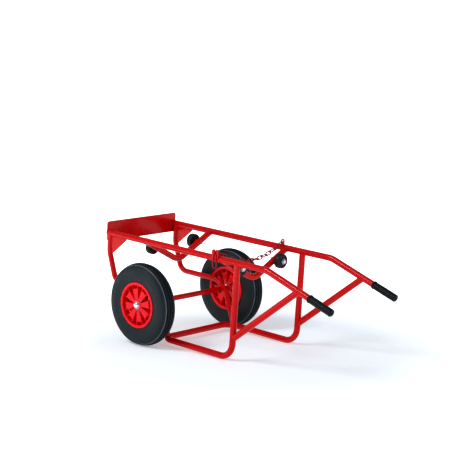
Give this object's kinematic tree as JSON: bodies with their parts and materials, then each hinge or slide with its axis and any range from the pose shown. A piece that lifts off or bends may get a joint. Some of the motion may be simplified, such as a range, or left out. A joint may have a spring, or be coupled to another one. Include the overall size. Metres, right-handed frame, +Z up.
{
  "type": "drum trolley",
  "caption": "Two-wheeled tubular hand trolley with roller cradles, toe plate, securing chain, U-shaped stand and a pair of drop handles for carrying a drum lying down.",
  "frame": {"origin": "centre of the footprint on the floor, below the middle of the overall length", "axes": "+X from the toe plate towards the handles, +Y towards the right-hand wheel seen by the person pushing, +Z up"},
  "size_m": [1.4423, 0.718, 0.5549],
  "materials": {
    "frame_paint": "gloss traffic-red powder coat on welded steel tube",
    "chain_paint": "red-painted welded steel chain, worn at the contacts",
    "rim_plastic": "moulded red polypropylene, semi-gloss",
    "tyre_rubber": "dark slate-grey tyre rubber",
    "tube_rubber": "butyl inner tube",
    "roller_rubber": "black solid rubber",
    "grip_rubber": "greenish-black moulded grip, satin",
    "zinc_steel": "zinc-plated steel",
    "cap_chrome": "bright plated pressed cap",
    "valve_brass": "nickelled brass valve",
    "bush_nylon": "natural nylon"
  },
  "bodies": {
    "frame": {"axle_shaft": "zinc_steel", "axle_tube": "frame_paint", "brace_left": "frame_paint", "brace_right": "frame_paint", "chain_end_link": "chain_paint", "chain_keeper": "frame_paint", "chain_lug": "frame_paint", "cradle_front": "frame_paint", "cradle_rear": "frame_paint", "front_stay_left": "frame_paint", "front_stay_right": "frame_paint", "grip_left": "grip_rubber", "grip_right": "grip_rubber", "gusset_left": "frame_paint", "gusset_right": "frame_paint", "hub_cap_left": "cap_chrome", "hub_cap_right": "cap_chrome", "rail_left": "frame_paint", "rail_right": "frame_paint", "roller_bolts": "zinc_steel", "roller_bosses": "frame_paint", "roller_washers": "zinc_steel", "stand_frame": "frame_paint", "thrust_washers_inner": "zinc_steel", "thrust_washers_outer": "zinc_steel", "toe_plate": "frame_paint"},
    "wheel_left": {"tyre_left": "tyre_rubber", "inner_tube_left": "tube_rubber", "rim_outer_left": "rim_plastic", "rim_inner_left": "rim_plastic", "tube_valve_left": "valve_brass", "wheel_bush_left": "bush_nylon"},
    "wheel_right": {"tyre_right": "tyre_rubber", "inner_tube_right": "tube_rubber", "rim_outer_right": "rim_plastic", "rim_inner_right": "rim_plastic", "tube_valve_right": "valve_brass", "wheel_bush_right": "bush_nylon"},
    "chain_run": {"chain_garland": "chain_paint"},
    "chain_tail_end": {"chain_tail": "chain_paint"},
    "roller_front_left_body": {"roller_front_left": "roller_rubber", "roller_sleeve_front_left": "zinc_steel"},
    "roller_front_right_body": {"roller_front_right": "roller_rubber", "roller_sleeve_front_right": "zinc_steel"},
    "roller_rear_left_body": {"roller_rear_left": "roller_rubber", "roller_sleeve_rear_left": "zinc_steel"},
    "roller_rear_right_body": {"roller_rear_right": "roller_rubber", "roller_sleeve_rear_right": "zinc_steel"}
  },
  "joints": [
    {"name": "wheel_left_spin", "type": "hinge", "parent": "frame", "child": "wheel_left", "pos_m": [-0.38231, -0.308, 0.2], "axis": [0, 1, 0], "continuous": true},
    {"name": "wheel_right_spin", "type": "hinge", "parent": "frame", "child": "wheel_right", "pos_m": [-0.38231, 0.308, 0.2], "axis": [0, 1, 0], "continuous": true},
    {"name": "roller_front_left_spin", "type": "hinge", "parent": "frame", "child": "roller_front_left_body", "pos_m": [-0.49048, -0.142, 0.44504], "axis": [0.999, 0, -0.0447], "continuous": true},
    {"name": "roller_front_right_spin", "type": "hinge", "parent": "frame", "child": "roller_front_right_body", "pos_m": [-0.49048, 0.142, 0.44504], "axis": [0.999, 0, -0.0447], "continuous": true},
    {"name": "roller_rear_left_spin", "type": "hinge", "parent": "frame", "child": "roller_rear_left_body", "pos_m": [0.09594, -0.142, 0.41882], "axis": [0.999, 0, -0.0447], "continuous": true},
    {"name": "roller_rear_right_spin", "type": "hinge", "parent": "frame", "child": "roller_rear_right_body", "pos_m": [0.09594, 0.142, 0.41882], "axis": [0.999, 0, -0.0447], "continuous": true},
    {"name": "chain_swing", "type": "hinge", "parent": "frame", "child": "chain_run", "pos_m": [0.03324, 0, 0.49423], "axis": [0, 1, 0], "range_deg": [-15, 15]},
    {"name": "chain_tail_swing", "type": "hinge", "parent": "frame", "child": "chain_tail_end", "pos_m": [0.03289, -0.2488, 0.48625], "axis": [0, 1, 0], "range_deg": [-10, 20]}
  ]
}
